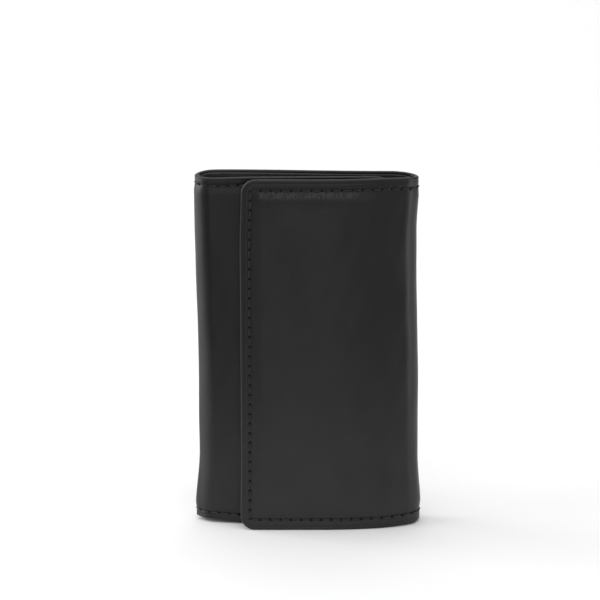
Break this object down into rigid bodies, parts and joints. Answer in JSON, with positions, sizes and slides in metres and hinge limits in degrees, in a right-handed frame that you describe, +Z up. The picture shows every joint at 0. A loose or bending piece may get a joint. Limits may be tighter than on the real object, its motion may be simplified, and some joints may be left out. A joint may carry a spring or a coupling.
{
  "type": "key organiser",
  "caption": "Closed trifold leather key case that stands on its edge: a flap with concealed press studs over a folded panel, and a rack of swivelling key hooks inside.",
  "frame": {"origin": "middle of the closed case's footprint, on the surface that it stands on", "axes": "+Z up along the folds, front (the flap) faces -Y, +X to the right as seen from the front"},
  "size_m": [0.0664, 0.013, 0.108],
  "materials": {
    "cover_leather": "black smooth-grain leather, satin, with a black lock stitch near every edge",
    "lining_leather": "black lining leather, matt",
    "nickel_plate": "nickel plated steel, polished",
    "spring_steel": "spring steel, satin",
    "snap_metal": "nickel plated brass, satin"
  },
  "bodies": {
    "back": {"back_cover": "cover_leather", "back_lining": "lining_leather", "rack_plate": "nickel_plate", "rack_rivet_left": "nickel_plate", "rack_rivet_right": "nickel_plate", "hook_rivet_1": "nickel_plate", "hook_rivet_2": "nickel_plate", "hook_rivet_3": "nickel_plate", "hook_rivet_4": "nickel_plate", "hook_rivet_5": "nickel_plate", "hook_rivet_6": "nickel_plate"},
    "right_fold": {"right_fold_cover": "cover_leather", "right_fold_lining": "lining_leather"},
    "flap": {"flap_cover": "cover_leather", "flap_lining": "lining_leather", "snap_cap_lower": "snap_metal", "snap_cap_upper": "snap_metal", "snap_socket_lower": "snap_metal", "snap_socket_upper": "snap_metal"},
    "left_fold": {"left_fold_cover": "cover_leather", "left_fold_lining": "lining_leather"},
    "left_panel": {"left_panel_cover": "cover_leather", "left_panel_lining": "lining_leather", "snap_stud_lower": "snap_metal", "snap_stud_upper": "snap_metal", "snap_post_lower": "snap_metal", "snap_post_upper": "snap_metal"},
    "hook_1": {"hook_1": "nickel_plate"},
    "hook_2": {"hook_2": "nickel_plate"},
    "hook_3": {"hook_3": "nickel_plate"},
    "hook_4": {"hook_4": "nickel_plate"},
    "hook_5": {"hook_5": "nickel_plate"},
    "hook_6": {"hook_6": "nickel_plate"},
    "gate_1": {"gate_1": "spring_steel"},
    "gate_2": {"gate_2": "spring_steel"},
    "gate_3": {"gate_3": "spring_steel"},
    "gate_4": {"gate_4": "spring_steel"},
    "gate_5": {"gate_5": "spring_steel"},
    "gate_6": {"gate_6": "spring_steel"}
  },
  "joints": [
    {"name": "right_fold_hinge", "type": "hinge", "parent": "back", "child": "right_fold", "pos_m": [0.03161, 0.00585, 0], "axis": [0, 0, 1], "range_deg": [0, 82.5]},
    {"name": "flap_hinge", "type": "hinge", "parent": "right_fold", "child": "flap", "pos_m": [0.0326, -0.00166, 0], "axis": [0, 0, 1], "range_deg": [0, 82.5]},
    {"name": "left_fold_hinge", "type": "hinge", "parent": "back", "child": "left_fold", "pos_m": [-0.03232, 0.00547, 0], "axis": [0, 0, -1], "range_deg": [0, 16.5]},
    {"name": "left_panel_hinge", "type": "hinge", "parent": "left_fold", "child": "left_panel", "pos_m": [-0.03222, -0.00177, 0], "axis": [0, 0, -1], "range_deg": [0, 16.5]},
    {"name": "hook_1_swivel", "type": "hinge", "parent": "back", "child": "hook_1", "pos_m": [-0.01925, 0.00316, 0.096], "axis": [0, 1, 0], "range_deg": [-20, 20]},
    {"name": "hook_2_swivel", "type": "hinge", "parent": "back", "child": "hook_2", "pos_m": [-0.01155, 0.00224, 0.096], "axis": [0, 1, 0], "range_deg": [-20, 20]},
    {"name": "hook_3_swivel", "type": "hinge", "parent": "back", "child": "hook_3", "pos_m": [-0.00385, 0.00316, 0.096], "axis": [0, 1, 0], "range_deg": [-20, 20]},
    {"name": "hook_4_swivel", "type": "hinge", "parent": "back", "child": "hook_4", "pos_m": [0.00385, 0.00224, 0.096], "axis": [0, 1, 0], "range_deg": [-20, 20]},
    {"name": "hook_5_swivel", "type": "hinge", "parent": "back", "child": "hook_5", "pos_m": [0.01155, 0.00316, 0.096], "axis": [0, 1, 0], "range_deg": [-20, 20]},
    {"name": "hook_6_swivel", "type": "hinge", "parent": "back", "child": "hook_6", "pos_m": [0.01925, 0.00224, 0.096], "axis": [0, 1, 0], "range_deg": [-20, 20]},
    {"name": "gate_1_spring", "type": "hinge", "parent": "hook_1", "child": "gate_1", "pos_m": [-0.01815, 0.00316, 0.0896], "axis": [0, 1, 0], "range_deg": [0, 14], "stiffness_Nm_per_rad": 0.03, "springref_deg": -8.59},
    {"name": "gate_2_spring", "type": "hinge", "parent": "hook_2", "child": "gate_2", "pos_m": [-0.01045, 0.00224, 0.0896], "axis": [0, 1, 0], "range_deg": [0, 14], "stiffness_Nm_per_rad": 0.03, "springref_deg": -8.59},
    {"name": "gate_3_spring", "type": "hinge", "parent": "hook_3", "child": "gate_3", "pos_m": [-0.00275, 0.00316, 0.0896], "axis": [0, 1, 0], "range_deg": [0, 14], "stiffness_Nm_per_rad": 0.03, "springref_deg": -8.59},
    {"name": "gate_4_spring", "type": "hinge", "parent": "hook_4", "child": "gate_4", "pos_m": [0.00495, 0.00224, 0.0896], "axis": [0, 1, 0], "range_deg": [0, 14], "stiffness_Nm_per_rad": 0.03, "springref_deg": -8.59},
    {"name": "gate_5_spring", "type": "hinge", "parent": "hook_5", "child": "gate_5", "pos_m": [0.01265, 0.00316, 0.0896], "axis": [0, 1, 0], "range_deg": [0, 14], "stiffness_Nm_per_rad": 0.03, "springref_deg": -8.59},
    {"name": "gate_6_spring", "type": "hinge", "parent": "hook_6", "child": "gate_6", "pos_m": [0.02035, 0.00224, 0.0896], "axis": [0, 1, 0], "range_deg": [0, 14], "stiffness_Nm_per_rad": 0.03, "springref_deg": -8.59}
  ],
  "couplings": [
    {"joint": "flap_hinge", "follows": "right_fold_hinge", "ratio": 1},
    {"joint": "left_fold_hinge", "follows": "right_fold_hinge", "ratio": 0.2},
    {"joint": "left_panel_hinge", "follows": "right_fold_hinge", "ratio": 0.2}
  ]
}
